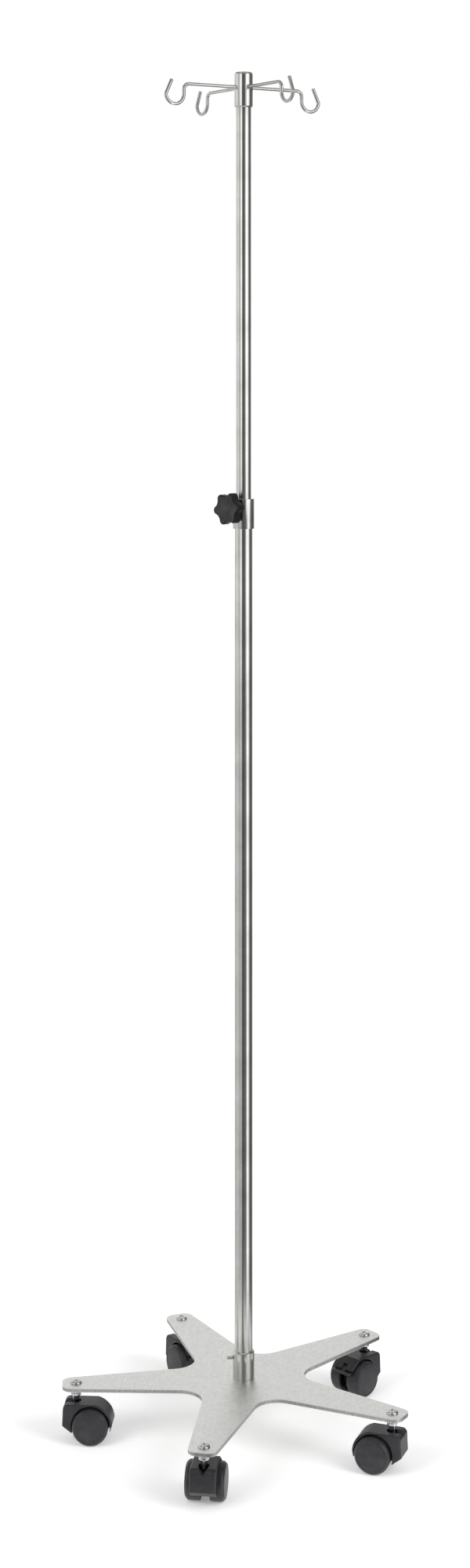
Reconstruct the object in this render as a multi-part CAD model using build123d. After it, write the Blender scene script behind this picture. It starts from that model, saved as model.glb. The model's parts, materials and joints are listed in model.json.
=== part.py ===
from build123d import *
from math import asin, cos, degrees, radians, sin, sqrt
import os

# Infusion pole: a telescopic stainless mast with four wire hooks, on a five-arm plate with twin castors.
# Millimetres, +Z up. The origin is on the floor under the pole's axis, and the front arm points along -Y.

# Clearances
running_fit = 0.05  # radial, where one piece turns or slides on another
seat_fit = 0.02  # radial, where pieces are pressed, screwed or welded together
face_gap = 0.3  # between faces that move past each other

# Base plate: laser-cut sheet
plate_thickness = 5.0
arm_count = 5
front_arm_angle = -90.0
screw_circle_radius = 233.5
arm_overhang = 19.0  # from a screw's axis to the blunt end of its arm
arm_width = 41.6  # across an arm at the screw circle
arm_taper = 0.1155  # how far each edge runs outwards per millimetre towards the centre
arm_corner_radius = 13.0
valley_radius = 33.0
plate_edge_break = 0.4

# Socket, its bolt from below and its set screw
socket_wall = 2.5
socket_height = 38.0
socket_floor = 8.0
socket_chamfer = 1.5
bolt_radius = 5.0
bolt_head_width = 16.0  # across flats
bolt_head_height = 6.4
bolt_head_edge = 1.2
washer_radius = 10.5
washer_thickness = 2.0
bolt_hole_clearance = 0.5
set_screw_radius = 2.5
set_screw_height = 27.5  # above the plate
set_screw_proud = 8.0
set_screw_angle = 196.0
set_screw_key = 2.5  # across flats
set_screw_chamfer = 0.4

# Tubes
lower_tube_radius = 12.5
lower_tube_wall = 1.5
lower_tube_length = 1198.0
telescope_gap = 0.35  # radial, between the tubes
upper_tube_wall = 1.5
upper_tube_length = 990.0
mast_extension = 546.0  # upper tube that shows between the collar and the hub
foot_flange = 8.0
foot_spigot = 20.0
foot_bore = 3.0
foot_edge = 1.0

# Clamp collar, pad, stud and star knob
collar_wall = 2.5
collar_grip = 21.5  # how far the collar reaches down over the lower tube
collar_height = 41.8
collar_chamfer = 0.6
collar_bore_gap = 0.1  # radial, round the upper tube
knob_below_top = 12.7
knob_angle = 245.0
stud_radius = 4.0
stud_in_knob = 14.0
stud_chamfer = 0.8
stud_pad_gap = 0.1
pad_radius = 3.3
pad_thickness = 1.5
knob_hub_radius = 8.0
knob_hub_flare = 1.2
knob_hub_gap = 1.0  # between the collar and the knob's hub
knob_hub_length = 11.0
knob_head_height = 13.4
knob_lobes = 6
knob_radius = 23.2  # over the lobes
knob_lobe_radius = 5.8
knob_valley_depth = 4.7
knob_front_edge = 2.4
knob_back_edge = 1.0
knob_rest_turn = -22.0  # how the knob happens to stand when tight

# Hub and hooks
hub_wall = 2.35
hub_height = 49.5
hub_top_thickness = 11.5
hub_dome = 4.0
hub_chamfer = 1.5
hook_height = 28.0  # of the arms' axis above the hub's lower end
hook_wire_radius = 2.5
hook_angles = (45.0, 135.0, 225.0, 315.0)
hook_weld_depth = 1.8  # how far a wire's end goes into the hub
hook_reach = 97.0  # from the pole's axis to the hook's drop
hook_corner_radius = 8.0
hook_drop = 14.0
hook_bowl_radius = 14.5
hook_bowl_turn = 168.0
hook_lip_radius = 4.0
hook_lip_turn = 37.0
hook_tip = 21.5

# Castors: the local x runs from the stem to the wheels, and y along the axle
wheel_radius = 25.0
wheel_trail = 22.0
wheel_side_gap = 0.5  # between the web and a wheel
wheel_width = 20.0
wheel_tread_edge = (3.2, 4.2)  # radially and along the axle
wheel_rim = 4.0
wheel_disc = 3.5
wheel_hub_wall = 2.95
wheel_ribs = 6
wheel_rib = 1.6
wheel_rib_setback = 1.5  # from the wheel's inner face
axle_radius = 3.0
axle_cover = 1.5  # wheel material left over the axle's end
hood_half_width = 17.5
hood_gap = 2.2  # between the tread and the hood
hood_wall = 2.8
hood_roof = 1.8  # over the wheels, where the top is flat
hood_edge = 1.5
hood_nose = 17.5  # from the stem to the end wall's foot
hood_draft = 1.3  # how much the end wall leans in at its top
hood_corner = 7.0
hood_tip_angle = 3.0  # of the curve's outer end above the axle
hood_tip_drop = 12.0  # of the point of its tip below the axle, round the wheel
hood_nose_drop = 20.0  # the same at the end wall
hood_tip_width = 1.0
web_half_width = 6.5
web_boss_radius = 14.0
pivot_radius = 4.0
pivot_floor = 5.0  # web left under the pivot pin's hole
pivot_end_gap = 1.0
pocket_radius = 7.5
pocket_depth = 8.0
notch_depth = 7.0
stem_reach = 19.0  # from the hood's top to the underside of the plate
stem_head_radius = 7.2
stem_head_height = 10.5
stem_head_grooves = 2
stem_head_groove = 0.7
stem_cone_radius = 5.4
stem_cone_height = 9.0

# Screws through the arm tips into the stems
screw_radius = 4.0
screw_head_radius = 8.0
screw_head_height = 3.6
screw_head_rim = 1.4
screw_head_top = 5.4  # radius of the flat top
screw_turn = 20.0  # how the cross recess happens to stand
screw_grip = 4.2  # thread inside the stem's head
screw_tip_gap = 0.2
screw_hole_clearance = 0.3
recess_span = 8.4
recess_width = 1.9
recess_depth = 2.4

# Brake: a pedal on a cross pin in the web, with a shoe over both treads
hood_facet_start = 8.0  # past the axle
hood_facet_reach = 0.5  # of the facet's lower end outside the hood's radius
brake_pin_angle = 56.3  # round the axle
brake_pin_inset = 5.57  # from the hood's inner radius
brake_pin_radius = 1.5
brake_arm_half_width = 3.7
brake_arm_radius = 4.0
brake_arm_root = 6.0  # from the pedal's far edge to where the arm runs out into it
brake_shoe_gap = 1.6
pedal_drop = 4.4  # from the pin to the pedal's middle
pedal_thickness = 2.6
pedal_overhang = 6.5  # past the treads
pedal_headroom = 2.4  # under the facet's lower end
pedal_half_width = 17.0
pedal_corner = 3.0

# Which way each castor trails at rest, and which ones have a brake, anticlockwise from the front arm
castor_places = {
    "front": (0, 95.0, False),
    "right": (1, 173.0, False),
    "back_right": (2, 239.0, True),
    "back_left": (3, -44.0, True),
    "left": (4, 9.0, False),
}

# Radii and heights that follow
hood_bore = wheel_radius + hood_gap
hood_radius = hood_bore + hood_wall
hood_top = wheel_radius + hood_bore + hood_roof
castor_height = hood_top + stem_reach  # floor to the underside of the plate
socket_radius = lower_tube_radius + socket_wall
lower_tube_bore = lower_tube_radius - lower_tube_wall
upper_tube_radius = lower_tube_bore - telescope_gap
upper_tube_bore = upper_tube_radius - upper_tube_wall
collar_radius = lower_tube_radius + collar_wall
collar_bore = upper_tube_radius + collar_bore_gap
hub_radius = upper_tube_radius + hub_wall
plate_top = castor_height + plate_thickness
tube_foot = plate_top + socket_floor
tube_top = tube_foot + lower_tube_length
collar_top = tube_top - collar_grip + collar_height
hub_bottom = collar_top + mast_extension
hub_top = hub_bottom + hub_height
upper_tube_top = hub_top - hub_top_thickness
upper_tube_foot = upper_tube_top - upper_tube_length
knob_height = collar_top - knob_below_top
pad_start = upper_tube_radius + face_gap
stud_start = pad_start + pad_thickness + stud_pad_gap
knob_start = collar_radius + knob_hub_gap
wheel_inner_face = web_half_width + wheel_side_gap
pivot_seat = wheel_radius + pivot_floor
stem_foot = pivot_seat + pivot_end_gap
brake_pin_place = (
    wheel_trail + (hood_bore - brake_pin_inset) * cos(radians(brake_pin_angle)),
    wheel_radius + (hood_bore - brake_pin_inset) * sin(radians(brake_pin_angle)),
)
pedal_level = brake_pin_place[1] - pedal_drop
pedal_reach = wheel_trail + wheel_radius + pedal_overhang
arm_step = 360.0 / arm_count

on_end = (Align.CENTER, Align.CENTER, Align.MIN)


def rod(radius, bottom, top):
    """A round bar on the Z axis between two heights."""
    return Pos(0, 0, bottom) * Cylinder(radius, top - bottom, align=on_end)


def turned(*points):
    """A body of revolution about Z from its half section, given as radius and height."""
    return revolve(Plane.XZ * make_face(Polyline(*points, close=True)), Axis.Z)


def polar(radius, angle, height=0.0):
    """A place at a radius and an angle round the pole, turned to face outwards."""
    return Rot(0, 0, angle) * Pos(radius, 0, height)


def outward(angle, height):
    """A frame on the pole's axis whose Z axis points outwards at an angle."""
    return Pos(0, 0, height) * Rot(0, 0, angle) * Rot(0, 90, 0)


# Base


def arm_half_width(radius):
    """Half the width of the plate's arm at a distance from the pole."""
    return arm_width / 2 + arm_taper * (screw_circle_radius - radius)


def star_outline():
    """The plate's outline: five tapering arms with blunt rounded ends and rounded valleys between them."""
    tip = screw_circle_radius + arm_overhang
    half = radians(arm_step / 2)
    valley = arm_half_width(0) / (sin(half) + arm_taper * cos(half))
    corners = []
    for k in range(arm_count):
        along = radians(front_arm_angle + k * arm_step)
        corners.append((valley * cos(along - half), valley * sin(along - half)))
        for side in (-arm_half_width(tip), arm_half_width(tip)):
            x = tip * cos(along) - side * sin(along)
            y = tip * sin(along) + side * cos(along)
            corners.append((x, y))
    outline = make_face(Polyline(*corners, close=True))
    middle = (valley + tip) / 2
    valleys = [v for v in outline.vertices() if Vector(v.X, v.Y).length < middle]
    outline = fillet(valleys, valley_radius)
    tips = [v for v in outline.vertices() if Vector(v.X, v.Y).length > tip]
    return fillet(tips, arm_corner_radius)


def base_plate():
    """Star of sheet metal, its upper edge broken, with holes for the bolt and for each castor's screw."""
    plate = extrude(star_outline(), plate_thickness)
    plate = chamfer(plate.faces().sort_by(Axis.Z)[-1].edges(), plate_edge_break)
    plate -= rod(bolt_radius + bolt_hole_clearance, -1, plate_thickness + 1)
    for k in range(arm_count):
        place = polar(screw_circle_radius, front_arm_angle + k * arm_step)
        plate -= place * rod(screw_radius + screw_hole_clearance, -1, plate_thickness + 1)
    return Pos(0, 0, castor_height) * plate


def pole_socket():
    """Turned cup that holds the lower tube, with a threaded floor and a threaded cross hole."""
    inside = lower_tube_radius + seat_fit
    cup = turned(
        (bolt_radius + seat_fit, 0),
        (socket_radius, 0),
        (socket_radius, socket_height - socket_chamfer),
        (socket_radius - socket_chamfer, socket_height),
        (inside, socket_height),
        (inside, socket_floor),
        (bolt_radius + seat_fit, socket_floor),
    )
    cup = Pos(0, 0, plate_top) * cup
    cross = outward(set_screw_angle, plate_top + set_screw_height)
    return cup - cross * rod(set_screw_radius + seat_fit, 1, socket_radius + 1)


def hexagon(width, thickness):
    """A hexagonal bar of a width across its flats."""
    return extrude(RegularPolygon(width / 2, 6, major_radius=False), thickness)


def set_screw():
    """Grub screw with a hexagon socket in its outer end, tip against the tube."""
    start = lower_tube_radius + seat_fit
    end = socket_radius + set_screw_proud
    screw = rod(set_screw_radius, start, end)
    screw = chamfer(screw.faces().sort_by(Axis.Z)[-1].edges(), set_screw_chamfer)
    screw -= Pos(0, 0, end - set_screw_key) * hexagon(set_screw_key, set_screw_key + 1)
    return outward(set_screw_angle, plate_top + set_screw_height) * screw


def base_washer():
    """Flat washer between the bolt's head and the plate."""
    washer = rod(washer_radius, 0, washer_thickness) - rod(bolt_radius + seat_fit, -1, washer_thickness + 1)
    return Pos(0, 0, castor_height - washer_thickness) * washer


def base_bolt():
    """Hexagon bolt from below, its head's corners taken off, that fills the socket's threaded floor."""
    head_top = castor_height - washer_thickness
    corner = bolt_head_width / 2 + bolt_head_edge
    crown = turned(
        (0, 0),
        (corner - bolt_head_edge, 0),
        (corner, bolt_head_edge),
        (corner, bolt_head_height),
        (0, bolt_head_height),
    )
    head = hexagon(bolt_head_width, bolt_head_height) & crown
    return Pos(0, 0, head_top - bolt_head_height) * head + rod(bolt_radius, head_top, tube_foot)


def castor_screws():
    """Pan-head screws with a cross recess, one in each arm tip."""
    head = turned(
        (0, 0),
        (screw_head_radius, 0),
        (screw_head_radius, screw_head_rim),
        (screw_head_top, screw_head_height),
        (0, screw_head_height),
    )
    cross = Rectangle(recess_span, recess_width) + Rectangle(recess_width, recess_span)
    head -= Pos(0, 0, screw_head_height - recess_depth) * extrude(cross, recess_depth + 1)
    screw = Pos(0, 0, plate_top) * head + rod(screw_radius, castor_height - screw_grip, plate_top)
    angles = [front_arm_angle + k * arm_step for k in range(arm_count)]
    return [polar(screw_circle_radius, angle) * Rot(0, 0, screw_turn) * screw for angle in angles]


def lower_tube():
    """Outer tube, standing on the socket's floor."""
    return rod(lower_tube_radius, tube_foot, tube_top) - rod(lower_tube_bore, tube_foot - 1, tube_top + 1)


# Clamp


def clamp_collar():
    """Turned collar: it sits on the lower tube's end, and its smaller bore guides the upper tube."""
    bottom = tube_top - collar_grip
    inside = lower_tube_radius + seat_fit
    edge = collar_chamfer
    collar = turned(
        (inside, bottom),
        (collar_radius - edge, bottom),
        (collar_radius, bottom + edge),
        (collar_radius, collar_top - edge),
        (collar_radius - edge, collar_top),
        (collar_bore + edge, collar_top),
        (collar_bore, collar_top - edge),
        (collar_bore, tube_top),
        (inside, tube_top),
    )
    return collar - outward(knob_angle, knob_height) * rod(stud_radius + running_fit, 1, collar_radius + 1)


def pressure_pad():
    """Soft disc that keeps the stud from scoring the upper tube."""
    return outward(knob_angle, knob_height) * rod(pad_radius, pad_start, pad_start + pad_thickness)


def knob_stud():
    """Threaded stud, moulded into the knob; its tip bears on the pad."""
    stud = rod(stud_radius, stud_start, knob_start + stud_in_knob)
    stud = chamfer(stud.faces().sort_by(Axis.Z)[0].edges(), stud_chamfer)
    return outward(knob_angle, knob_height) * stud


def lobed_outline():
    """Round lobes joined by hollow arcs that run smoothly into them."""
    lobe = knob_radius - knob_lobe_radius
    low = knob_radius - knob_valley_depth
    half = radians(180.0 / knob_lobes)
    across = lobe * cos(half)
    gap = knob_lobe_radius**2 - lobe**2 - low**2 + 2 * across * low
    hollow = gap / (2 * (low - across - knob_lobe_radius))
    centre = low + hollow
    share = knob_lobe_radius / (knob_lobe_radius + hollow)
    touch = Vector(lobe, 0) + (Vector(centre * cos(half), centre * sin(half)) - Vector(lobe, 0)) * share
    arcs = []
    for k in range(knob_lobes):
        turn = Rot(0, 0, k * 360.0 / knob_lobes)
        mirrored = Vector(touch.X, -touch.Y)
        arcs.append(turn * ThreePointArc(mirrored, (knob_radius, 0), touch))
        far = Vector(touch.X, -touch.Y).rotate(Axis.Z, 360.0 / knob_lobes)
        dip = (low * cos(half), low * sin(half))
        arcs.append(turn * ThreePointArc(touch, dip, far))
    return make_face(arcs)


def star_knob():
    """Moulded grip: a lobed head with sloping edges on a short flared hub, closed in front."""
    head = extrude(lobed_outline(), knob_head_height)
    head = chamfer(head.faces().sort_by(Axis.Z)[-1].edges(), knob_front_edge)
    head = chamfer(head.faces().sort_by(Axis.Z)[0].edges(), knob_back_edge)
    hub = Cone(knob_hub_radius, knob_hub_radius + knob_hub_flare, knob_hub_length, align=on_end)
    knob = Pos(0, 0, knob_start) * (hub + Pos(0, 0, knob_hub_length) * head)
    knob -= rod(stud_radius + seat_fit, knob_start - 1, knob_start + stud_in_knob)
    return outward(knob_angle, knob_height) * Rot(0, 0, knob_rest_turn) * knob


# Mast


def foot_guide():
    """Moulded plug: its flange guides the upper tube in the lower one, and the tube turns on its spigot."""
    top = upper_tube_foot - face_gap / 2
    bottom = top - foot_flange
    flange = lower_tube_bore - running_fit
    spigot = upper_tube_bore - running_fit
    return turned(
        (foot_bore, bottom),
        (flange - foot_edge, bottom),
        (flange, bottom + foot_edge),
        (flange, top),
        (spigot, top),
        (spigot, top + foot_spigot - foot_edge),
        (spigot - foot_edge, top + foot_spigot),
        (foot_bore, top + foot_spigot),
    )


def upper_tube():
    """Inner tube, from its foot inside the lower tube up into the hub."""
    tube = rod(upper_tube_radius, upper_tube_foot, upper_tube_top)
    return tube - rod(upper_tube_bore, upper_tube_foot - 1, upper_tube_top + 1)


def hook_hub():
    """Turned cap with a rounded top, bored for the tube and spot-drilled for the hook arms."""
    inside = upper_tube_radius + seat_fit
    cap = rod(hub_radius, hub_bottom, hub_top)
    cap = fillet(cap.faces().sort_by(Axis.Z)[-1].edges(), hub_dome)
    cap = chamfer(cap.faces().sort_by(Axis.Z)[0].edges(), hub_chamfer)
    cap -= rod(inside, hub_bottom - 1, upper_tube_top)
    for angle in hook_angles:
        spot = outward(angle, hub_bottom + hook_height)
        cap -= spot * rod(hook_wire_radius + seat_fit, hub_radius - hook_weld_depth, hub_radius + 1)
    return cap


def hook(angle):
    """One bent wire: arm, corner, drop, open bowl and a tip that leans back over it."""
    start = hub_radius - hook_weld_depth
    arm = Line((start, 0), (hook_reach - hook_corner_radius, 0))
    corner = JernArc(arm @ 1, arm % 1, hook_corner_radius, -90)
    drop = Line(corner @ 1, corner @ 1 + (corner % 1) * (hook_drop - hook_corner_radius))
    bowl = JernArc(drop @ 1, drop % 1, hook_bowl_radius, hook_bowl_turn)
    lip = JernArc(bowl @ 1, bowl % 1, hook_lip_radius, hook_lip_turn)
    tip = Line(lip @ 1, lip @ 1 + (lip % 1) * hook_tip)
    path = Wire([arm, corner, drop, bowl, lip, tip])
    section = Plane(origin=arm @ 0, z_dir=arm % 0) * Circle(hook_wire_radius)
    wire = sweep(section, path)
    return Pos(0, 0, hub_bottom + hook_height) * Rot(0, 0, angle) * Rot(90, 0, 0) * wire


# Castors, each built about its own stem


def castor_stem():
    """Grooved round head under the plate, a cone below it and the pivot pin, tapped for the screw."""
    shoulder = castor_height - stem_head_height
    outline = [
        (0, stem_foot),
        (pivot_radius, stem_foot),
        (pivot_radius, shoulder - stem_cone_height),
        (stem_cone_radius, shoulder),
        (stem_head_radius, shoulder),
    ]
    for k in range(1, stem_head_grooves + 1):
        middle = shoulder + k * stem_head_height / (stem_head_grooves + 1)
        outline.append((stem_head_radius, middle - stem_head_groove))
        outline.append((stem_head_radius - stem_head_groove, middle))
        outline.append((stem_head_radius, middle + stem_head_groove))
    stem = turned(*outline, (stem_head_radius, castor_height), (0, castor_height))
    return stem - rod(screw_radius + seat_fit, castor_height - screw_grip - screw_tip_gap, castor_height + 1)


def round_axle(radius, angle):
    """A point of the hood's side view, round the axle from the trailing end upwards."""
    x = wheel_trail + radius * cos(radians(angle))
    z = wheel_radius + radius * sin(radians(angle))
    return (x, z)


def hood_outline(braked):
    """Side view of the hood, filled: end wall, flat top, and the curve or facet over the wheels."""
    axle = (wheel_trail, wheel_radius)
    crest = (wheel_trail, hood_top)
    tip_radius = hood_bore + hood_tip_width
    end_wall = make_face(
        Polyline(
            (-hood_nose, wheel_radius),
            (-hood_nose + hood_draft, hood_top),
            crest,
            axle,
            round_axle(tip_radius, 180 + hood_nose_drop),
            close=True,
        )
    )
    corner = end_wall.vertices().sort_by(Axis.X)[1]
    outline = fillet(corner, hood_corner)
    if braked:
        reach = hood_radius + hood_facet_reach
        rise = pedal_level + pedal_thickness / 2 + pedal_headroom - wheel_radius
        foot = (wheel_trail + sqrt(reach**2 - rise**2), wheel_radius + rise)
        facet = Polyline(axle, foot, (wheel_trail + hood_facet_start, hood_top), crest, close=True)
        return outline + make_face(facet)
    top_angle = degrees(asin((hood_top - wheel_radius) / hood_radius))
    arc = CenterArc(axle, hood_radius, hood_tip_angle, top_angle - hood_tip_angle)
    tip = round_axle(tip_radius, -hood_tip_drop)
    return outline + make_face([arc, Polyline(arc @ 1, crest, axle, tip, arc @ 0)])


def castor_body(braked):
    """Moulded hood: cheeks round the wheel openings, and a middle web for the axle and the pivot."""
    outline = hood_outline(braked)
    wheel_place = Pos(wheel_trail, wheel_radius)
    cheeks = extrude(Plane.XZ * outline, hood_half_width, both=True)
    sides = [f for f in cheeks.faces() if abs(f.center().Y) > hood_half_width - face_gap]
    rims = [e for side in sides for e in side.edges() if e.center().Z > wheel_radius + hood_edge]
    cheeks = chamfer(rims, hood_edge)
    cheeks -= extrude(Plane.XZ * (wheel_place * Circle(hood_bore)), hood_half_width + 1, both=True)
    web = (outline & wheel_place * Circle(hood_bore + hood_wall / 2)) + wheel_place * Circle(web_boss_radius)
    body = cheeks + extrude(Plane.XZ * web, web_half_width, both=True)
    body -= rod(pocket_radius, hood_top - pocket_depth, hood_top + 1)
    body -= rod(pivot_radius + running_fit, pivot_seat, hood_top)
    rim = hood_top + 1
    notch = Polyline((-pocket_radius, rim), (pocket_radius, rim), (0, hood_top - notch_depth), close=True)
    body -= extrude(Plane.YZ * make_face(notch), -hood_nose - 1)
    axle_hole = Rot(90, 0, 0) * rod(axle_radius + seat_fit, -hood_half_width, hood_half_width)
    body -= Pos(wheel_trail, 0, wheel_radius) * axle_hole
    if braked:
        body -= brake_pocket()
    return body


def castor_axle():
    """Steel pin, pressed through the web, that both wheels turn on."""
    reach = wheel_inner_face + wheel_width - wheel_disc - axle_cover
    return Pos(wheel_trail, 0, wheel_radius) * Rot(90, 0, 0) * rod(axle_radius, -reach, reach)


def castor_wheel(side):
    """Moulded wheel, closed outside, with an open inner side where ribs join the hub to the rim."""
    inner = wheel_inner_face
    outer = inner + wheel_width
    disc = outer - wheel_disc
    bore = axle_radius + running_fit
    hub = bore + wheel_hub_wall
    blind = disc - axle_cover + face_gap
    rim = wheel_radius - wheel_rim
    radial, axial = wheel_tread_edge
    wheel = turned(
        (0, blind),
        (0, outer),
        (wheel_radius - radial, outer),
        (wheel_radius, outer - axial),
        (wheel_radius, inner),
        (rim, inner),
        (rim, disc),
        (hub, disc),
        (hub, inner),
        (bore, inner),
        (bore, blind),
    )
    into_wall = wheel_rim / 4
    length = rim - hub + 2 * into_wall
    depth = disc - inner - wheel_rib_setback + into_wall
    rib = Box(length, wheel_rib, depth, align=(Align.MIN, Align.CENTER, Align.MIN))
    for k in range(wheel_ribs):
        turn = Rot(0, 0, k * 360.0 / wheel_ribs)
        wheel += turn * Pos(hub - into_wall, 0, inner + wheel_rib_setback) * rib
    turn = 0 if side == "left" else 180
    return Pos(wheel_trail, 0, wheel_radius) * Rot(0, 0, turn) * Rot(-90, 0, 0) * wheel


def brake_pocket():
    """Slot in the web for the pedal's arm, and the hole of its pin."""
    x, z = brake_pin_place
    reach = hood_radius + wheel_trail
    low = pedal_level - pedal_thickness - brake_arm_radius
    high = z + brake_arm_radius + face_gap
    left = x - brake_arm_radius - face_gap
    slot = Box(reach - left, 2 * (brake_arm_half_width + face_gap), high - low)
    hole = rod(brake_pin_radius + seat_fit, -web_half_width - 1, web_half_width + 1)
    return Pos((left + reach) / 2, 0, (low + high) / 2) * slot + Pos(x, 0, z) * Rot(90, 0, 0) * hole


def brake_pin():
    """Steel cross pin, pressed into the web."""
    x, z = brake_pin_place
    return Pos(x, 0, z) * Rot(90, 0, 0) * rod(brake_pin_radius, -web_half_width, web_half_width)


def brake_pedal():
    """Pedal bar with a shoe edge that follows the treads, on a narrow arm that turns on the pin."""
    x, z = brake_pin_place
    bottom = pedal_level - pedal_thickness / 2
    top = pedal_level + pedal_thickness / 2
    length = pedal_reach - wheel_trail
    sheet = Pos(wheel_trail, 0) * Rectangle(length, 2 * pedal_half_width, align=(Align.MIN, Align.CENTER))
    bar = Pos(0, 0, bottom) * extrude(sheet, pedal_thickness)
    far = bar.edges().filter_by(Axis.Z).sort_by(Axis.X)[-2:]
    bar = fillet(far, pedal_corner)
    across = pedal_half_width + 1
    treads = Rot(90, 0, 0) * rod(wheel_radius + brake_shoe_gap, -across, across)
    bar -= Pos(wheel_trail, 0, wheel_radius) * treads
    root = pedal_reach - brake_arm_root
    side = Polyline((x, z + brake_arm_radius), (root, top), (root, bottom), (x, bottom), close=True)
    profile = make_face(side) + Pos(x, z) * Circle(brake_arm_radius)
    arm = extrude(Plane.XZ * profile, brake_arm_half_width, both=True)
    hole = Rot(90, 0, 0) * rod(brake_pin_radius + running_fit, -across, across)
    return bar + arm - Pos(x, 0, z) * hole


def castor_place(arm, trail):
    """Where a castor stands: its stem on the arm's screw, turned so that it trails at an angle."""
    angle = front_arm_angle + arm * arm_step
    x = screw_circle_radius * cos(radians(angle))
    y = screw_circle_radius * sin(radians(angle))
    return Pos(x, y, 0) * Rot(0, 0, trail)


pieces = {
    "base_plate": base_plate(),
    "pole_socket": pole_socket(),
    "socket_set_screw": set_screw(),
    "base_washer": base_washer(),
    "base_bolt": base_bolt(),
    "castor_screws": Compound(castor_screws()),
    "lower_tube": lower_tube(),
    "clamp_collar": clamp_collar(),
    "pressure_pad": pressure_pad(),
    "knob_stud": knob_stud(),
    "star_knob": star_knob(),
    "foot_guide": foot_guide(),
    "upper_tube": upper_tube(),
    "hook_hub": hook_hub(),
}
for number, angle in enumerate(hook_angles, 1):
    pieces[f"hook_{number}"] = hook(angle)

stem = castor_stem()
axle = castor_axle()
wheels = {side: castor_wheel(side) for side in ("left", "right")}
bodies = {braked: castor_body(braked) for braked in (False, True)}
pedal = brake_pedal()
pin = brake_pin()
for name, (arm, trail, braked) in castor_places.items():
    place = castor_place(arm, trail)
    pieces[f"castor_{name}_stem"] = place * stem
    pieces[f"castor_{name}_body"] = place * bodies[braked]
    pieces[f"castor_{name}_axle"] = place * axle
    for side, wheel in wheels.items():
        pieces[f"castor_{name}_wheel_{side}"] = place * wheel
    if braked:
        pieces[f"castor_{name}_brake_pedal"] = place * pedal
        pieces[f"castor_{name}_brake_pin"] = place * pin

os.makedirs("parts", exist_ok=True)
for name, piece in pieces.items():
    export_step(piece, f"parts/{name}.step")
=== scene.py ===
import json
from math import cos, pi, radians, sin, sqrt, tan

import bmesh
import bpy
from mathutils import Matrix, Vector


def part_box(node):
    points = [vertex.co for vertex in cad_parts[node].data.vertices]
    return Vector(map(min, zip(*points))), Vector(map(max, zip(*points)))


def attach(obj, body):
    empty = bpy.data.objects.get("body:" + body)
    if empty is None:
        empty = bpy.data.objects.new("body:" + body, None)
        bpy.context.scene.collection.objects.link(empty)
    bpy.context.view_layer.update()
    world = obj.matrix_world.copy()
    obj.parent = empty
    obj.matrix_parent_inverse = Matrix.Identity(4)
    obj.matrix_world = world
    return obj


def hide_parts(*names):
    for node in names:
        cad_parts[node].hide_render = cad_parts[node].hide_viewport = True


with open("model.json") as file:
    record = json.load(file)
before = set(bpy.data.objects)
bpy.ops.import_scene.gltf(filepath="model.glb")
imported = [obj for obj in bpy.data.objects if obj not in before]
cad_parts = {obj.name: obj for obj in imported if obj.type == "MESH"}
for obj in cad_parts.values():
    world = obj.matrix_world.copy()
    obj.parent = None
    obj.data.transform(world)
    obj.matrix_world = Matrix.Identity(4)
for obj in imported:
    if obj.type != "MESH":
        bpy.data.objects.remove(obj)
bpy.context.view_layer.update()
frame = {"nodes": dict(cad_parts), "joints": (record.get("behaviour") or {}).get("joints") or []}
nodes = frame["nodes"]
joints = {joint["name"]: joint for joint in frame["joints"]}
collection = bpy.context.scene.collection


# Base plate: one star of 5 mm stainless sheet, laser cut, its faces sanded with a belt and its upper
# edge broken. It carries the pole's socket in the middle and a castor under each of its five arm tips.

def colour(code):
    """An sRGB hex colour as linear values with alpha."""
    parts = [int(code[k:k + 2], 16) / 255 for k in (0, 2, 4)]
    return tuple(c / 12.92 if c <= 0.04045 else ((c + 0.055) / 1.055) ** 2.4 for c in parts) + (1.0,)


def add(tree, kind, inputs=None, ramp=(), **settings):
    """Adds a node with its settings. An input given a socket is linked to it, the rest are values."""
    made = tree.nodes.new(kind)
    for name, value in settings.items():
        setattr(made, name, value)
    for key, value in (inputs or {}).items():
        if isinstance(value, bpy.types.NodeSocket):
            tree.links.new(value, made.inputs[key])
        else:
            made.inputs[key].default_value = value
    for k, (place, code) in enumerate(ramp):
        made.color_ramp.elements[k].position = place
        made.color_ramp.elements[k].color = colour(code)
    return made


def empty_material(name):
    """A material with nothing in its node tree yet."""
    made = bpy.data.materials.new(name)
    made.use_nodes = True
    made.node_tree.nodes.clear()
    return made, made.node_tree


def edge_wear_and_highlight(tree, width):
    """From 0 to 1 towards an edge, where a rounded edge's normal would leave the surface's own."""
    soft = add(tree, "ShaderNodeBevel", {"Radius": width}, samples=4).outputs[0]
    own = add(tree, "ShaderNodeNewGeometry").outputs["Normal"]
    match = add(tree, "ShaderNodeVectorMath", {0: soft, 1: own}, operation="DOT_PRODUCT").outputs["Value"]
    return add(tree, "ShaderNodeMapRange", {0: match, 1: 0.99, 2: 0.86, 3: 0.0, 4: 1.0}).outputs[0]


def dress(node, material):
    """Gives a CAD node its material."""
    mesh = nodes[node].data
    for slot in range(len(mesh.materials)):
        mesh.materials[slot] = material
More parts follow.
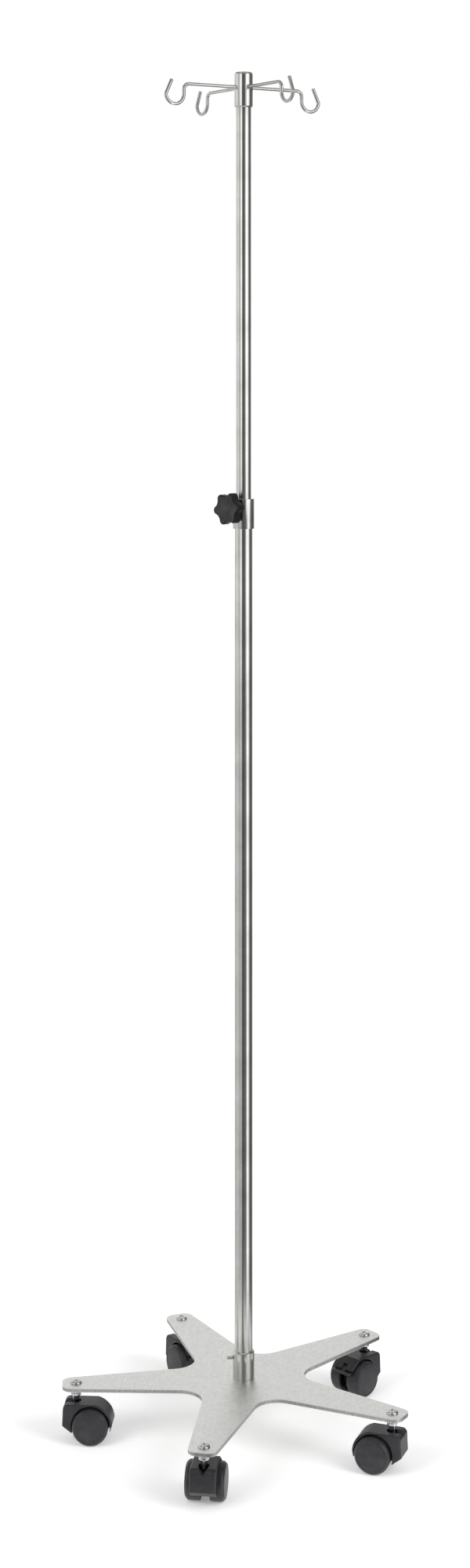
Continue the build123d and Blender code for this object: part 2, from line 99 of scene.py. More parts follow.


# Belt-sanded stainless sheet: scratches about 0.6 mm apart and 12 mm long, all one way, and cloudy
# patches some 7 mm wide where the belt dwelt. What it mirrors blurs into broad light patches. A painted
# highlight along its broken edges draws a thin pale line round it. Its sides are painted darker as shade,
# with upright laser lines 0.3 mm apart.
belt_sanded, tree = empty_material("belt_sanded_stainless")
place = add(tree, "ShaderNodeTexCoord").outputs["Object"]
sanding_angle = radians(18)
along = add(tree, "ShaderNodeMapping", {"Vector": place, "Rotation": (0.0, 0.0, sanding_angle),
                                        "Scale": (1.0, 0.05, 1.0)}).outputs[0]
scratch = add(tree, "ShaderNodeTexNoise", {"Vector": along, "Scale": 1 / 0.0012, "Detail": 4.0,
                                           "Roughness": 0.55}).outputs[0]
cloud = add(tree, "ShaderNodeTexNoise", {"Vector": place, "Scale": 1 / 0.007, "Detail": 6.0,
                                         "Roughness": 0.7}).outputs[0]
grain = add(tree, "ShaderNodeMix", {0: 0.5, 2: scratch, 3: cloud}).outputs[0]
# On the sheet the edge mask paints a highlight, a thin pale line along the broken edges.
edge = edge_wear_and_highlight(tree, 0.0015)
shade = add(tree, "ShaderNodeMath", {0: edge, 1: 0.5, 2: grain}, operation="MULTIPLY_ADD").outputs[0]
shade = add(tree, "ShaderNodeValToRGB", {"Fac": shade}, ((0.36, "cbccc9"), (0.7, "f2f2ef"))).outputs[0]
# Faces that stand upright, the sheet's sides, are painted darker as shade, with upright laser lines on them.
# The painted edge highlight stays on their edges.
own = add(tree, "ShaderNodeTexCoord").outputs["Normal"]
level = add(tree, "ShaderNodeSeparateXYZ", {"Vector": own}).outputs["Z"]
level = add(tree, "ShaderNodeMath", {0: level}, operation="ABSOLUTE").outputs[0]
side = add(tree, "ShaderNodeMapRange", {0: level, 1: 0.3, 2: 0.7, 3: 1.0, 4: 0.0}).outputs[0]
side = add(tree, "ShaderNodeMath", {0: side, 1: edge}, operation="SUBTRACT", use_clamp=True).outputs[0]
upright = add(tree, "ShaderNodeMapping", {"Vector": place, "Scale": (1.0, 1.0, 0.05)}).outputs[0]
cut = add(tree, "ShaderNodeTexNoise", {"Vector": upright, "Scale": 1 / 0.0006, "Detail": 2.0}).outputs[0]
cut = add(tree, "ShaderNodeValToRGB", {"Fac": cut}, ((0.35, "9c9c9a"), (0.65, "bebebc"))).outputs[0]
shade = add(tree, "ShaderNodeMix", {0: side, 6: shade, 7: cut}, data_type="RGBA").outputs[2]
gloss = add(tree, "ShaderNodeMapRange", {0: grain, 1: 0.35, 2: 0.65, 3: 0.38, 4: 0.5}).outputs[0]
relief = add(tree, "ShaderNodeBump", {"Strength": 0.2, "Distance": 0.00003, "Height": grain}).outputs[0]
shader = add(tree, "ShaderNodeBsdfPrincipled", {"Base Color": shade, "Roughness": gloss, "Normal": relief,
                                                "Metallic": 1.0})
add(tree, "ShaderNodeOutputMaterial", {"Surface": shader.outputs[0]})
dress("base_plate", belt_sanded)


# Pole socket: a cup turned from stainless bar, held to the plate by a bolt and washer from below. A
# grub screw with a hexagon socket goes through its side, pinches the tube and stands 8 mm proud.

def lathe(corners, segments=72, steps=4):
    """A profile turned round the Z axis, in metres, with its corners rounded. A corner is its radius,
    its height and how far the rounding reaches, in millimetres. It closes on itself or on the axis,
    and one that starts on the axis but ends off it stays open there."""
    points = []
    ring_shaped = corners[0][0] > 0
    for k, (radius, z, size) in enumerate(corners):
        if not size or not ring_shaped and k in (0, len(corners) - 1):
            points.append((radius, z))
            continue
        here = Vector((radius, z))
        back = Vector(corners[k - 1][:2]) - here
        ahead = Vector(corners[(k + 1) % len(corners)][:2]) - here
        cut = min(size / tan(back.angle(ahead) / 2), 0.49 * back.length, 0.49 * ahead.length)
        start = here + back.normalized() * cut
        end = here + ahead.normalized() * cut
        for step in range(steps + 1):
            t = step / steps
            points.append(tuple(start.lerp(here, t).lerp(here.lerp(end, t), t)))
    made = bmesh.new()
    rings = []
    for radius, z in points:
        turns = [2 * pi * k / segments for k in range(segments if radius > 1e-6 else 1)]
        rings.append([made.verts.new((radius * cos(t) / 1000, radius * sin(t) / 1000, z / 1000))
                      for t in turns])
    for low, high in list(zip(rings, rings[1:])) + ([(rings[-1], rings[0])] if ring_shaped else []):
        for k in range(segments):
            after = (k + 1) % segments
            face = (low[k % len(low)], low[after % len(low)], high[after % len(high)], high[k % len(high)])
            made.faces.new(list(dict.fromkeys(face)))
    return made


def solid(name, made, spin=Matrix()):
    """The mesh of a finished bmesh, moved to its place, with its faces pointing outwards."""
    bmesh.ops.recalc_face_normals(made, faces=made.faces)
    mesh = bpy.data.meshes.new(name)
    made.to_mesh(mesh)
    made.free()
    mesh.transform(spin)
    return mesh


def stand(name, mesh, material, body, replaced=None, smooth=35):
    """Puts a mesh in the scene, riding on a body, and in place of a CAD node if it replaces one."""
    mesh.shade_smooth()
    mesh.set_sharp_from_angle(angle=radians(smooth))
    if not mesh.materials:
        mesh.materials.append(material)
    piece = bpy.data.objects.new(name, mesh)
    collection.objects.link(piece)
    if replaced:
        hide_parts(replaced)
    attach(piece, body)
    return piece


def outward(angle, height):
    """A place on the pole's axis whose Z axis points outwards, at a height in millimetres."""
    return Matrix.Translation((0, 0, height / 1000)) @ Matrix.Rotation(radians(angle), 4, "Z") \
        @ Matrix.Rotation(radians(90), 4, "Y")


def millimetres(node):
    """A CAD node's largest radius along X, its lowest height and its highest."""
    low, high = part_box(node)
    return high.x * 1000, low.z * 1000, high.z * 1000


def middle_height(node):
    """The height of a CAD node's middle, in millimetres."""
    low, high = millimetres(node)[1:]
    return (low + high) / 2


def drilled(mesh, spin, radius, start, end):
    """A mesh with a round hole bored into it along the Z axis of a place."""
    bit = solid("bit", lathe([(0, start, 0), (radius, start, 0), (radius, end, 0), (0, end, 0)], 48), spin)
    cutter = bpy.data.objects.new("cutter", bit)
    worker = bpy.data.objects.new("worker", mesh)
    for piece in (cutter, worker):
        collection.objects.link(piece)
    modifier = worker.modifiers.new("bore", "BOOLEAN")
    modifier.solver = "EXACT"
    modifier.object = cutter
    made = bpy.data.meshes.new_from_object(worker.evaluated_get(bpy.context.evaluated_depsgraph_get()))
    bpy.data.objects.remove(worker)
    bpy.data.objects.remove(cutter)
    made.materials.clear()
    return made


def steel(name, low, high, rough, gap, stretch, contrast, spread=0.0):
    """Machined or ground steel: fine tool lines a real distance apart, drawn out along Z or round it,
    clouds about 30 mm wide, and brighter, smoother metal where handling has rubbed the edges. Marks
    that run round Z spread what it mirrors up and down."""
    material, tree = empty_material(name)
    place = add(tree, "ShaderNodeTexCoord").outputs["Object"]
    drawn = add(tree, "ShaderNodeMapping", {"Vector": place, "Scale": stretch}).outputs[0]
    lines = add(tree, "ShaderNodeTexNoise", {"Vector": drawn, "Scale": 1 / gap, "Detail": 2.0}).outputs[0]
    cloud = add(tree, "ShaderNodeTexNoise", {"Vector": place, "Scale": 1 / 0.03, "Detail": 5.0}).outputs[0]
    edge = edge_wear_and_highlight(tree, 0.0004)
    shade = add(tree, "ShaderNodeMix", {0: 0.8, 2: lines, 3: cloud}).outputs[0]
    shade = add(tree, "ShaderNodeMath", {0: edge, 1: 0.2, 2: shade}, operation="MULTIPLY_ADD").outputs[0]
    shade = add(tree, "ShaderNodeValToRGB", {"Fac": shade}, ((0.3, low), (0.75, high))).outputs[0]
    gloss = add(tree, "ShaderNodeMapRange", {0: lines, 1: 0.3, 2: 0.7, 3: rough * (1 - contrast),
                                             4: rough * (1 + contrast)}).outputs[0]
    gloss = add(tree, "ShaderNodeMath", {0: edge, 1: -0.04, 2: gloss}, operation="MULTIPLY_ADD").outputs[0]
    relief = add(tree, "ShaderNodeBump", {"Strength": 0.15 * contrast, "Distance": 0.000005,
                                          "Height": lines}).outputs[0]
    shader = add(tree, "ShaderNodeBsdfPrincipled", {"Base Color": shade, "Roughness": gloss,
                                                    "Normal": relief, "Metallic": 1.0})
    if spread:
        round_z = add(tree, "ShaderNodeTangent", direction_type="RADIAL", axis="Z").outputs[0]
        tree.links.new(round_z, shader.inputs["Tangent"])
        shader.inputs["Anisotropic"].default_value = spread
        shader.inputs["Anisotropic Rotation"].default_value = 0.25
    add(tree, "ShaderNodeOutputMaterial", {"Surface": shader.outputs[0]})
    return material


# Turned stainless: the tool's feed leaves rings about 0.2 mm apart, too fine to see one by one, which
# draw what it mirrors up and down into upright bands.
turned_steel = steel("turned_stainless", "bfc0bd", "dadad7", 0.13, 0.0004, (0.02, 0.02, 1.0),
                     0.04, 0.7)
# Bright stainless fasteners: cold formed, with short marks 0.5 mm apart that go every way.
fastener_steel = steel("bright_stainless_fastener", "b4b5b3", "dededc", 0.22, 0.001, (1.0, 1.0, 1.0), 0.35)

tube_radius, tube_foot, tube_top = millimetres("lower_tube")
socket_radius, socket_foot, socket_top = millimetres("pole_socket")
seat = tube_radius + 0.02
bolt_hole = 5.02
chamfer = 1.5
grub_radius, grub_hole = 2.5, 2.52
grub_proud = 8.0
drill_start = 9.0
set_screw_place = outward(196, middle_height("socket_set_screw"))
cup = solid("cup", lathe([
    (bolt_hole, socket_foot, 0.2),
    (socket_radius, socket_foot, 0.3),
    (socket_radius, socket_top - chamfer, 0.4),
    (socket_radius - chamfer, socket_top, 0.3),
    (seat, socket_top, 0.2),
    (seat, tube_foot, 0),
    (bolt_hole, tube_foot, 0.2),
]))
cup = drilled(cup, set_screw_place, grub_hole, drill_start, socket_radius + 1)
stand("pole_socket_cup", cup, turned_steel, "base", "pole_socket")


def threaded(start, end, radius, pitch, depth, segments=36, steps=6):
    """A bar along Z with a screw thread on it, closed at its start and open at its end, in a bmesh."""
    made = bmesh.new()
    count = round((end - start) / pitch * steps)
    rings = []
    for j in range(count + 1):
        z = start + (end - start) * j / count
        ends = min(1.0, (z - start) / pitch, (end - z) / pitch)
        ring = []
        for k in range(segments):
            phase = (z / pitch - k / segments) % 1.0
            crest = radius - depth * (abs(2 * phase - 1) * ends + (1 - ends))
            turn = 2 * pi * k / segments
            ring.append(made.verts.new((crest * cos(turn) / 1000, crest * sin(turn) / 1000, z / 1000)))
        rings.append(ring)
    for low, high in zip(rings, rings[1:]):
        for k in range(segments):
            after = (k + 1) % segments
            made.faces.new((low[k], low[after], high[after], high[k]))
    made.faces.new(rings[0])
    return made


def sunk(made, outline, top, depth, narrowing):
    """Closes a piece's open top with a flat round a recess of this outline, which narrows downwards."""
    rim = [edge for edge in made.edges if edge.is_boundary]
    upper, lower = ([made.verts.new((x * share / 1000, y * share / 1000, z / 1000)) for x, y in outline]
                    for z, share in ((top, 1.0), (top - depth, narrowing)))
    lip = [made.edges.new(pair) for pair in zip(upper, upper[1:] + upper[:1])]
    bmesh.ops.triangle_fill(made, edges=rim + lip, use_beauty=True)
    for k in range(len(outline)):
        after = (k + 1) % len(outline)
        made.faces.new((upper[k], upper[after], lower[after], lower[k]))
    made.faces.new(lower)
    return made


screw_end = socket_radius + grub_proud
key_size = 2.5  # across its flats
key = key_size / sqrt(3)
thread_pitch, thread_depth = 0.8, 0.35
hexagon = [(key * cos(radians(60 * k)), key * sin(radians(60 * k))) for k in range(6)]
grub = threaded(seat, screw_end, grub_radius, thread_pitch, thread_depth)
grub = sunk(grub, hexagon, screw_end, key_size, 0.98)
stand("socket_grub_screw", solid("grub_screw", grub, set_screw_place), fastener_steel, "base",
      "socket_set_screw", 25)
for node in ("base_washer", "base_bolt"):
    dress(node, fastener_steel)


# Castor screws: five domed pan heads of bright stainless, 16 mm across with a cross recess, one in each
# arm tip. They hold the castors' stems against the plate from above.

# One piece repeated round the pole or round an axle: as often as asked, each copy turned with its place.
ring_tree = bpy.data.node_groups.new("copies_in_a_ring", "GeometryNodeTree")
for name, kind in (("Piece", "Geometry"), ("Count", "Int"), ("Radius", "Float"), ("Start angle", "Float"),
                   ("Finish", "Material")):
    ring_tree.interface.new_socket(name, in_out="INPUT", socket_type="NodeSocket" + kind)
ring_tree.interface.new_socket("Copies", in_out="OUTPUT", socket_type="NodeSocketGeometry")
asked = add(ring_tree, "NodeGroupInput").outputs
index = add(ring_tree, "GeometryNodeInputIndex").outputs[0]
step = add(ring_tree, "ShaderNodeMath", {0: 2 * pi, 1: asked["Count"]}, operation="DIVIDE").outputs[0]
angle = add(ring_tree, "ShaderNodeMath", {0: index, 1: step, 2: asked["Start angle"]},
            operation="MULTIPLY_ADD").outputs[0]
along = add(ring_tree, "ShaderNodeCombineXYZ", {0: asked["Radius"]}).outputs[0]
spot = add(ring_tree, "ShaderNodeVectorRotate", {"Vector": along, "Angle": angle}, rotation_type="Z_AXIS")
spots = add(ring_tree, "GeometryNodePoints", {"Count": asked["Count"], "Position": spot.outputs[0]})
turn = add(ring_tree, "ShaderNodeCombineXYZ", {2: angle}).outputs[0]
copies = add(ring_tree, "GeometryNodeInstanceOnPoints", {"Points": spots.outputs[0], "Rotation": turn,
                                                         "Instance": asked["Piece"]}).outputs[0]
copies = add(ring_tree, "GeometryNodeRealizeInstances", {"Geometry": copies}).outputs[0]
copies = add(ring_tree, "GeometryNodeSetMaterial", {"Geometry": copies, "Material": asked["Finish"]})
add(ring_tree, "NodeGroupOutput", {0: copies.outputs[0]})


def ring_of(mesh, count, radius, start, finish):
    """The plain mesh of copies that the ring tree makes of a mesh."""
    worker = bpy.data.objects.new("worker", mesh)
    collection.objects.link(worker)
    modifier = worker.modifiers.new("ring", "NODES")
    modifier.node_group = ring_tree
    values = {"Count": count, "Radius": radius, "Start angle": radians(start), "Finish": finish}
    for item in ring_tree.interface.items_tree:
        if item.name in values:
            modifier[item.identifier] = values[item.name]
    made = bpy.data.meshes.new_from_object(worker.evaluated_get(bpy.context.evaluated_depsgraph_get()))
    worker.modifiers.remove(modifier)
    bpy.data.objects.remove(worker)
    return made


plate_top = millimetres("base_plate")[2]
screw_circle = Vector(joints["castor_front_swivel"]["pos_m"]).xy.length
head_radius, head_top = 8.0, 3.6
shank_radius, shank_length = 4.0, 9.2
recess_depth, recess_narrowing = 2.4, 0.62
arm, half = 4.2, 0.95  # of the cross recess
cross = [(arm, -half), (arm, half), (half, half), (half, arm), (-half, arm), (-half, half),
         (-arm, half), (-arm, -half), (-half, -half), (-half, -arm), (half, -arm), (half, -half)]
pan_head = sunk(lathe([
    (0, -shank_length, 0),
    (shank_radius, -shank_length, 0.4),
    (shank_radius, 0, 0),
    (head_radius, 0, 0.2),
    (head_radius, 1.2, 0.6),
    (7.3, 2.4, 0.8),
    (6.1, 3.25, 0.8),
    (4.9, head_top, 0.8),
    (4.6, head_top, 0),
], 48), cross, head_top, recess_depth, recess_narrowing)
pan_head = solid("pan_head", pan_head, Matrix.Translation((0, 0, plate_top / 1000))
                 @ Matrix.Rotation(radians(20), 4, "Z"))
stand("castor_screw_ring", ring_of(pan_head, 5, screw_circle, -90, fastener_steel), fastener_steel, "base",
      "castor_screws")


# Castors: five bought twin-wheel ones. A zinc-plated steel stem turns in a moulded black nylon hood,
# and two moulded wheels turn on a steel axle pressed through the hood's web. Two have a brake pedal.

def moulded(name, low, high, rough, grain, dust, front=None):
    """Moulded nylon: an even spark-eroded grain, clouds about 12 mm wide in its tone, edges rubbed
    paler and smoother, and dust towards the floor. With a front direction, faces that look away from
    it are painted darker as shade, in the low colour alone."""
    material, tree = empty_material(name)
    place = add(tree, "ShaderNodeTexCoord").outputs["Object"]
    spark = add(tree, "ShaderNodeTexNoise", {"Vector": place, "Scale": 1 / grain, "Detail": 2.0}).outputs[0]
    cloud = add(tree, "ShaderNodeTexNoise", {"Vector": place, "Scale": 1 / 0.012, "Detail": 4.0}).outputs[0]
    height = add(tree, "ShaderNodeSeparateXYZ", {0: place}).outputs["Z"]
    edge = edge_wear_and_highlight(tree, 0.0006)
    low_down = add(tree, "ShaderNodeMapRange", {0: height, 1: 0.05, 2: 0.0, 3: 0.0, 4: dust}).outputs[0]
    dusty = add(tree, "ShaderNodeMath", {0: low_down, 1: cloud}, operation="MULTIPLY").outputs[0]
    shade = add(tree, "ShaderNodeMath", {0: edge, 1: 0.35, 2: dusty}, operation="MULTIPLY_ADD").outputs[0]
    shade = add(tree, "ShaderNodeMath", {0: cloud, 1: 0.6, 2: shade}, operation="MULTIPLY_ADD").outputs[0]
    # Faces turned away from the front direction are painted darker as shade.
    if front:
        own = add(tree, "ShaderNodeTexCoord").outputs["Normal"]
        ahead = add(tree, "ShaderNodeVectorMath", {0: own, 1: front}, operation="DOT_PRODUCT")
        ahead = ahead.outputs["Value"]
        ahead = add(tree, "ShaderNodeMapRange", {0: ahead, 1: 0.85, 2: 0.98}).outputs[0]
        shade = add(tree, "ShaderNodeMath", {0: shade, 1: ahead}, operation="MULTIPLY").outputs[0]
    shade = add(tree, "ShaderNodeValToRGB", {"Fac": shade}, ((0.15, low), (0.85, high))).outputs[0]
    gloss = add(tree, "ShaderNodeMapRange", {0: spark, 1: 0.3, 2: 0.7, 3: rough - 0.06, 4: rough + 0.06})
    gloss = add(tree, "ShaderNodeMath", {0: edge, 1: -0.1, 2: gloss.outputs[0]}, operation="MULTIPLY_ADD")
    relief = add(tree, "ShaderNodeBump", {"Strength": 0.3, "Distance": 0.00005, "Height": spark}).outputs[0]
    shader = add(tree, "ShaderNodeBsdfPrincipled", {
        "Base Color": shade, "Roughness": gloss.outputs[0], "Normal": relief, "IOR": 1.53,
        "Specular IOR Level": 0.4})
    add(tree, "ShaderNodeOutputMaterial", {"Surface": shader.outputs[0]})
    return material


# Black nylon with a satin, spark-eroded skin, a little paler on its rubbed edges.
hood_nylon = moulded("spark_grained_black_nylon", "1b1b1e", "39393d", 0.42, 0.0007, 0.3)
# The wheels' harder nylon is a touch smoother, and greyer with floor dust low down.
wheel_nylon = moulded("moulded_black_wheel_nylon", "1a1a1d", "3b3b3f", 0.38, 0.0009, 0.5)
# Zinc on turned steel: bluish and bright, with faint rings.
zinc_steel = steel("zinc_plated_steel", "b0b3b5", "dcdee0", 0.2, 0.0007, (0.1, 0.1, 1.0), 0.3)

# One wheel, its axle along Z and its outer face up: a disc that crowns by 0.6 mm with a ring groove near
# its rim, a tread that rounds off outside, and on the open side a hub joined to the rim by six ribs.
wheel_radius = middle_height("castor_front_wheel_left")  # a wheel stands on the floor
inner, outer = 7.0, 27.0  # its faces, from the middle of the castor
disc = outer - 3.5
hub_outside = 6.0
rim_bore = wheel_radius - 4.0
axle_hole = 3.05
axle_end = disc - 1.2
dish = solid("dish", lathe([
    (0, outer, 0),
    (5.5, outer - 0.05, 0),
    (19.4, outer - 0.55, 0.6),
    (19.9, outer - 0.95, 0.3),
    (20.5, outer - 0.95, 0.3),
    (21.0, outer - 0.6, 0.5),
    (21.8, outer - 0.6, 1.0),
    (wheel_radius, outer - 4.2, 3.2),
    (wheel_radius, inner, 0.8),
    (rim_bore, inner, 0.4),
    (rim_bore, disc, 0.8),
    (hub_outside, disc, 0.8),
    (hub_outside, inner, 0.3),
    (axle_hole, inner, 0.3),
    (axle_hole, axle_end, 0),
    (0, axle_end, 0),
], 64))
rib = bmesh.new()
rib_open_end = 8.5
rib_foot, rib_top = 0.8, 0.65  # half its width at the disc and at its open edge
rooted = 0.5  # how far it goes into the disc, the hub and the rim
ends = [[rib.verts.new((x / 1000, side * width / 1000, z / 1000))
         for z, width in ((rib_open_end, rib_top), (disc + rooted, rib_foot)) for side in (-1, 1)]
        for x in (hub_outside - rooted, rim_bore + rooted)]
for a, b, c, d in ((0, 1, 3, 2), (0, 2, 6, 4), (1, 5, 7, 3), (4, 6, 7, 5), (0, 4, 5, 1), (2, 3, 7, 6)):
    made = ends[0] + ends[1]
    rib.faces.new((made[a], made[b], made[c], made[d]))
ribs = ring_of(solid("rib", rib), 6, 0.0, 0, wheel_nylon)
wheel = bmesh.new()
for mesh in (dish, ribs):
    wheel.from_mesh(mesh)
wheel = solid("wheel", wheel)

# One stem, on its own axis: a grooved round head under the plate, a cone and the pivot pin.
stem_radius, pin_radius, cone_radius = 7.2, 4.0, 5.4
cone_height = 9.0
groove = 0.7  # its depth, and half its width
screw_bore, bore_depth = 4.02, 4.4
stem_foot, stem_top = millimetres("castor_front_stem")[1:]
shoulder = stem_top - 10.5
stem_profile = [(0, stem_foot, 0), (pin_radius, stem_foot, 0.5), (pin_radius, shoulder - cone_height, 0.3),
                (cone_radius, shoulder, 0.2), (stem_radius, shoulder, 0.4)]
for level in (shoulder + 3.5, shoulder + 7.0):
    stem_profile += [(stem_radius, level - groove, 0.2), (stem_radius - groove, level, 0.2),
                     (stem_radius, level + groove, 0.2)]
stem_profile += [(stem_radius, stem_top, 0.3), (screw_bore, stem_top, 0),
                 (screw_bore, stem_top - bore_depth, 0), (0, stem_top - bore_depth, 0)]

for name in ("front", "right", "back_right", "back_left", "left"):
    dress(f"castor_{name}_body", hood_nylon)
    dress(f"castor_{name}_axle", zinc_steel)
    if f"castor_{name}_brake_pedal" in nodes:
        dress(f"castor_{name}_brake_pedal", hood_nylon)
        dress(f"castor_{name}_brake_pin", zinc_steel)
    node = f"castor_{name}_stem"
    low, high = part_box(node)
    axis = Matrix.Translation(((low.x + high.x) / 2, (low.y + high.y) / 2, 0))
    turned = solid("stem", lathe(stem_profile, 48), axis)
    stand(node + "_turned", turned, zinc_steel, "base", node)
    for side in ("left", "right"):
        node = f"castor_{name}_wheel_{side}"
        low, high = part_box(node)
        spin = joints[f"castor_{name}_spin_{side}"]
        centre = Vector(spin["pos_m"])
        out = Vector(spin["axis"])
        out *= 1 if out.dot((low + high) / 2 - centre) > 0 else -1
        mesh = wheel.copy()
        mesh.transform(Matrix.Translation(centre) @ out.to_track_quat("Z", "Y").to_matrix().to_4x4())
        stand(node + "_disc", mesh, wheel_nylon, node, node)


# Lower tube: seam-welded stainless tube, 25 mm across with a 1.5 mm wall, ground and polished outside
# and deburred at its ends. It stands on the socket's floor.

# Ground and polished tube: drawing leaves lines about 0.5 mm apart along the tube, and buffing round
# it spreads what it mirrors up and down, so the room stands in it as clean upright stripes.
tube_finish = steel("ground_polished_stainless_tube", "bfc0bc", "dcdcd9", 0.18, 0.001,
                    (1.0, 1.0, 0.002), 0.1, 0.9)
tube_wall = 1.5


def tube(node, body):
    """A tube of a CAD tube's radius between its own ends."""
    radius, low, high = millimetres(node)
    bore = radius - tube_wall
    corners = [(bore, low, 0.3), (radius, low, 0.3), (radius, high, 0.3), (bore, high, 0.3)]
    stand(node + "_polished", solid(node, lathe(corners, 96)), tube_finish, body, node)


tube("lower_tube", "base")


# Clamp: a turned collar sits on the lower tube's end and guides the upper tube. A star knob on a
# threaded stud presses a nylon pad against that tube.

collar_radius, collar_foot, collar_top = millimetres("clamp_collar")
mast_radius = millimetres("upper_tube")[0]
guide = mast_radius + 0.1
stud_radius, stud_hole = 4.0, 4.05
stud_reach = 15.0  # from the collar's side into the knob
stud_pitch, stud_thread_depth = 1.25, 0.6
pad_room = 1.9
stud_place = outward(245, middle_height("knob_stud"))
collar = solid("collar", lathe([
    (seat, collar_foot, 0.1),
    (collar_radius, collar_foot, 0.5),
    (collar_radius, collar_top, 0.6),
    (guide, collar_top, 0.5),
    (guide, tube_top, 0.1),
    (seat, tube_top, 0.1),
], 96))
collar = drilled(collar, stud_place, stud_hole, drill_start, collar_radius + 1)
stand("clamp_collar_ring", collar, turned_steel, "base", "clamp_collar")

# White nylon pad and foot guide: natural nylon, slightly yellow and soft in its gloss.
natural_nylon = moulded("natural_nylon", "d8d4c6", "ece9df", 0.45, 0.0008, 0.0)
dress("pressure_pad", natural_nylon)

stud = threaded(mast_radius + pad_room, collar_radius + stud_reach, stud_radius, stud_pitch,
                stud_thread_depth)
stud.faces.new(stud.verts[:][-36:])  # its last ring closes its outer end
stand("knob_threaded_stud", solid("stud", stud, stud_place), fastener_steel, "clamp_knob",
      "knob_stud", 25)

# The knob's nylon is dull charcoal on its flat front, and round its lobes it is painted blacker as shade.
knob_front = stud_place.to_3x3() @ Vector((0, 0, 1))
knob_nylon = moulded("fine_grained_black_knob_nylon", "0c0c0e", "4a4a4e", 0.5, 0.0006, 0.0,
                     tuple(knob_front))
dress("star_knob", knob_nylon)


# Mast: the upper tube with its moulded foot guide, a turned hub on its top with a rounded upper edge,
# and four bent wire hooks whose arms go into the hub and are welded round.

dress("foot_guide", natural_nylon)
tube("upper_tube", "mast")
hub_radius = 13.0
hub_crown = 4.0  # how far its upper edge is rounded
cap_thickness = 11.5
hub_foot, hub_top = millimetres("hook_hub")[1:]
hub_bore = mast_radius + 0.02
cap = lathe([
    (0, hub_top, 0),
    (hub_radius, hub_top, hub_crown),
    (hub_radius, hub_foot + chamfer, 0.4),
    (hub_radius - chamfer, hub_foot, 0.3),
    (hub_bore, hub_foot, 0.2),
    (hub_bore, hub_top - cap_thickness, 0),
    (0, hub_top - cap_thickness, 0),
], 96)
stand("hook_hub_cap", solid("cap", cap), turned_steel, "mast", "hook_hub")

# Polished wire: drawn, bent and electropolished, so it is smooth with faint draw marks 1 mm apart.
wire = steel("electropolished_stainless_wire", "b8b9b6", "d8d8d5", 0.18, 0.002, (1.0, 1.0, 1.0), 0.2)
hook_count, first_hook = 4, 45
hook_wire = 2.5
arm_height = 28.0
arm_start = hub_radius - 1.8
arm_length, corner, drop = 77.8, 8.0, 6.0
bowl, lean, tip_length = 14.5, 4.0, 21.5


def bent_wire(radius, moves, segments=24):
    """A wire along X that bends in its upright plane, in a bmesh: straight runs are (0, length), and
    bends are (radius, degrees), upwards if positive. Its far end is rounded where it was deburred."""
    x, z, heading = moves.pop(0) + (0.0,)
    path = [(x, z, heading, radius)]
    for bend, amount in moves:
        steps = 1 if not bend else max(2, round(abs(amount) / 6))
        for step in range(steps):
            turn = radians(amount / steps) if bend else 0.0
            run = 2 * bend * sin(abs(turn) / 2) if bend else amount
            x += run * cos(heading + turn / 2)
            z += run * sin(heading + turn / 2)
            heading += turn
            path.append((x, z, heading, radius))
    x, z, heading, radius = path.pop()
    for back, thinner in ((0.7, 0.0), (0.35, 0.1), (0.1, 0.35), (0.0, 0.75)):
        path.append((x - back * cos(heading), z - back * sin(heading), heading, radius - thinner))
    made = bmesh.new()
    rings = []
    for x, z, heading, size in path:
        turns = [2 * pi * k / segments for k in range(segments)]
        rings.append([made.verts.new(((x - size * cos(t) * sin(heading)) / 1000, size * sin(t) / 1000,
                                      (z + size * cos(t) * cos(heading)) / 1000)) for t in turns])
    for low, high in zip(rings, rings[1:]):
        for k in range(segments):
            after = (k + 1) % segments
            made.faces.new((low[k], low[after], high[after], high[k]))
    made.faces.new(rings[0])
    made.faces.new(rings[-1])
    return made


# One hook from inside the hub: arm, corner, drop, open bowl, and a tip that leans back over it.
hook = bent_wire(hook_wire, [(arm_start, 0.0), (0, arm_length), (corner, -90), (0, drop), (bowl, 168),
                             (lean, 37), (0, tip_length)])
hook = solid("hook", hook, Matrix.Translation((0, 0, (hub_foot + arm_height) / 1000)))
hooks = stand("hook_wires", ring_of(hook, hook_count, 0.0, first_hook, wire), wire, "mast",
              "hook_1")
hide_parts("hook_2", "hook_3", "hook_4")

# A small weld bead round each arm, rippled where the puddle stepped on, laid on the hub's round side.
bead_bore, bead_radius, bead_root = 2.45, 3.4, -0.3
ripples, ripple_depth = 15, 0.12
bead = lathe([(bead_bore, 0.9, 0.2), (2.9, 0.7, 0.3), (bead_radius, 0.1, 0.2), (bead_radius, bead_root, 0),
              (bead_bore, bead_root, 0)], 60)
for vert in bead.verts:
    x, y, z = vert.co * 1000
    ripple = 1 + ripple_depth * cos(ripples * Vector((1, 0)).angle_signed(Vector((x, y))))
    vert.co.z = (sqrt(hub_radius ** 2 - y ** 2) + z * ripple) / 1000
bead = solid("bead", bead, outward(0, hub_foot + arm_height))
stand("hook_weld_beads", ring_of(bead, hook_count, 0.0, first_hook, wire), wire, "mast")


# Studio: a white paper floor that runs into a white background, two lamps for soft light, and pale
# and dark cards that stand round the pole for the metal to mirror. Only gloss sees the cards.

mesh = bpy.data.meshes.new("floor")
floor_radius = 40.0
turns = [radians(10 * k) for k in range(36)]
mesh.from_pydata([(floor_radius * cos(t), floor_radius * sin(t), 0) for t in turns], [],
                 [tuple(range(len(turns)))])
floor = bpy.data.objects.new("floor", mesh)
collection.objects.link(floor)
paper, tree = empty_material("white_paper_floor")
path = add(tree, "ShaderNodeLightPath").outputs
seen = add(tree, "ShaderNodeMath", {0: path["Is Camera Ray"], 1: path["Is Glossy Ray"]}, operation="MAXIMUM")
seen = add(tree, "ShaderNodeMath", {0: seen.outputs[0], 1: path["Is Transmission Ray"]}, operation="MAXIMUM")
